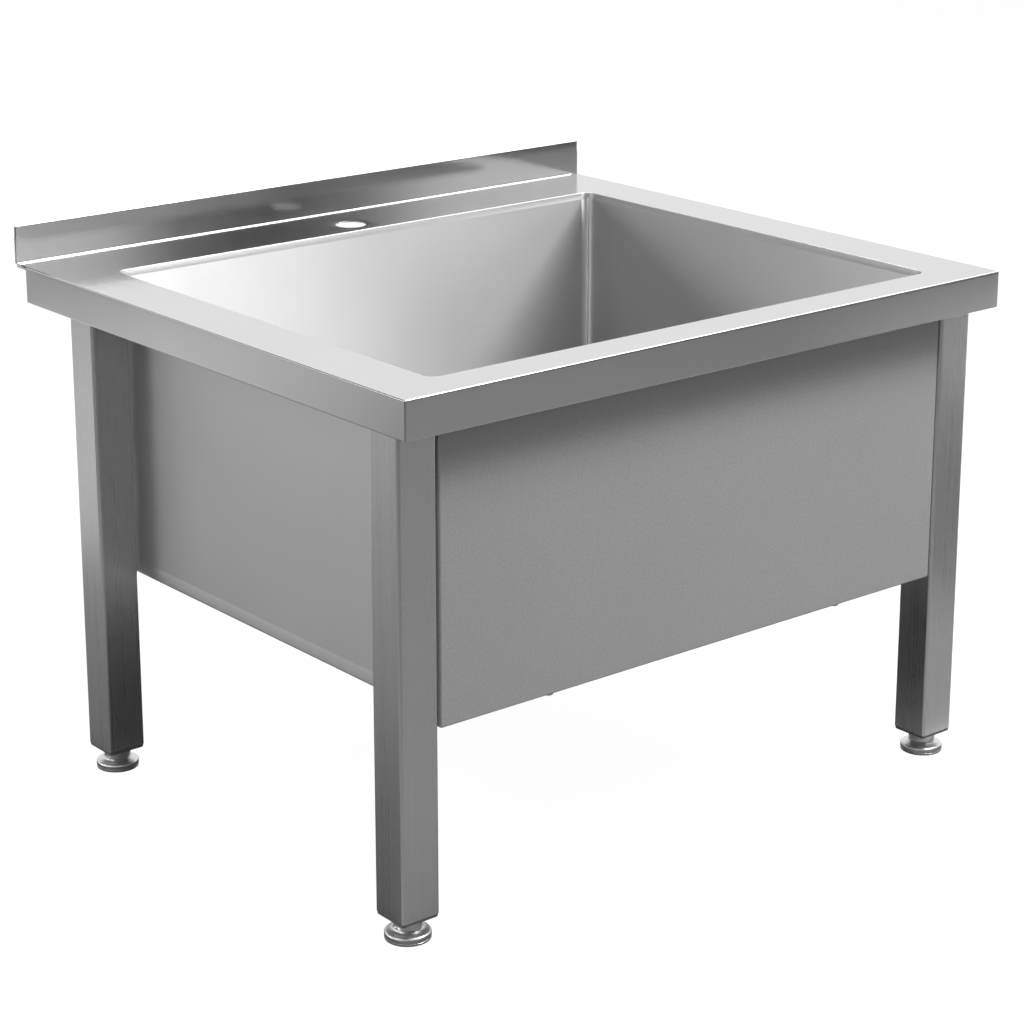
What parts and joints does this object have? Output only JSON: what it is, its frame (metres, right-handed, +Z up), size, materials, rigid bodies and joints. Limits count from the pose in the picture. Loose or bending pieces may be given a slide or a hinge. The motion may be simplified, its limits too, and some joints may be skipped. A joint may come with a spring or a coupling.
{
  "type": "utility laundry sink",
  "caption": "Low free-standing stainless steel laundry sink: one deep rectangular bowl in a folded worktop with a wall upstand, on square tube legs with levelling feet.",
  "frame": {"origin": "on the floor, under the middle of the footprint", "axes": "+X to the right along the front, +Y towards the wall, +Z up; the front apron faces -Y"},
  "size_m": [0.8, 0.7, 0.602],
  "materials": {
    "worktop_steel": "satin brushed stainless sheet",
    "bowl_steel": "satin stainless sheet, 2B mill finish",
    "panel_steel": "stainless sheet with a fine vertical grain",
    "leg_steel": "brushed stainless tube, grain along the leg",
    "frame_steel": "plain stainless sheet, unpolished",
    "screw_steel": "bright stainless fasteners",
    "foot_steel": "turned stainless steel",
    "waste_steel": "polished pressed stainless",
    "insert_plastic": "mid grey moulded polyamide",
    "waste_plastic": "white moulded polypropylene",
    "seal_rubber": "black rubber"
  },
  "bodies": {
    "sink": {"worktop": "worktop_steel", "bowl_wall": "bowl_steel", "bowl_floor": "bowl_steel", "waste_seal_upper": "seal_rubber", "waste_seal_lower": "seal_rubber", "waste_flange": "waste_steel", "waste_body": "waste_plastic", "waste_tail": "waste_plastic", "waste_screw": "screw_steel", "front_rail": "frame_steel", "side_rail_left": "frame_steel", "side_rail_right": "frame_steel", "front_panel": "panel_steel", "panel_lug_left": "frame_steel", "panel_lug_right": "frame_steel", "panel_screws": "screw_steel", "leg_screws": "screw_steel", "bonding_tag": "frame_steel", "leg_socket_front_left": "frame_steel", "leg_front_left": "leg_steel", "leg_insert_front_left": "insert_plastic", "leg_socket_front_right": "frame_steel", "leg_front_right": "leg_steel", "leg_insert_front_right": "insert_plastic", "leg_socket_back_left": "frame_steel", "leg_back_left": "leg_steel", "leg_insert_back_left": "insert_plastic", "leg_socket_back_right": "frame_steel", "leg_back_right": "leg_steel", "leg_insert_back_right": "insert_plastic"},
    "pad_front_left": {"foot_pad_front_left": "foot_steel"},
    "spindle_front_left": {"foot_spindle_front_left": "foot_steel"},
    "pad_front_right": {"foot_pad_front_right": "foot_steel"},
    "spindle_front_right": {"foot_spindle_front_right": "foot_steel"},
    "pad_back_left": {"foot_pad_back_left": "foot_steel"},
    "spindle_back_left": {"foot_spindle_back_left": "foot_steel"},
    "pad_back_right": {"foot_pad_back_right": "foot_steel"},
    "spindle_back_right": {"foot_spindle_back_right": "foot_steel"},
    "basket": {"strainer_basket": "waste_steel"}
  },
  "joints": [
    {"name": "foot_travel_front_left", "type": "slide", "parent": "sink", "child": "pad_front_left", "axis": [0, 0, -1], "range_m": [0, 0.02]},
    {"name": "foot_turn_front_left", "type": "hinge", "parent": "pad_front_left", "child": "spindle_front_left", "pos_m": [-0.3655, -0.2995, 0.03], "axis": [0, 0, -1], "range_deg": [0, 4800]},
    {"name": "foot_travel_front_right", "type": "slide", "parent": "sink", "child": "pad_front_right", "axis": [0, 0, -1], "range_m": [0, 0.02]},
    {"name": "foot_turn_front_right", "type": "hinge", "parent": "pad_front_right", "child": "spindle_front_right", "pos_m": [0.3655, -0.2995, 0.03], "axis": [0, 0, -1], "range_deg": [0, 4800]},
    {"name": "foot_travel_back_left", "type": "slide", "parent": "sink", "child": "pad_back_left", "axis": [0, 0, -1], "range_m": [0, 0.02]},
    {"name": "foot_turn_back_left", "type": "hinge", "parent": "pad_back_left", "child": "spindle_back_left", "pos_m": [-0.3655, 0.2375, 0.03], "axis": [0, 0, -1], "range_deg": [0, 4800]},
    {"name": "foot_travel_back_right", "type": "slide", "parent": "sink", "child": "pad_back_right", "axis": [0, 0, -1], "range_m": [0, 0.02]},
    {"name": "foot_turn_back_right", "type": "hinge", "parent": "pad_back_right", "child": "spindle_back_right", "pos_m": [0.3655, 0.2375, 0.03], "axis": [0, 0, -1], "range_deg": [0, 4800]},
    {"name": "basket_lift", "type": "slide", "parent": "sink", "child": "basket", "axis": [0, 0, 1], "range_m": [0, 0.12]}
  ],
  "couplings": [
    {"joint": "foot_turn_front_left", "follows": "foot_travel_front_left", "rad_per_m": 4188.8},
    {"joint": "foot_turn_front_right", "follows": "foot_travel_front_right", "rad_per_m": 4188.8},
    {"joint": "foot_turn_back_left", "follows": "foot_travel_back_left", "rad_per_m": 4188.8},
    {"joint": "foot_turn_back_right", "follows": "foot_travel_back_right", "rad_per_m": 4188.8}
  ]
}
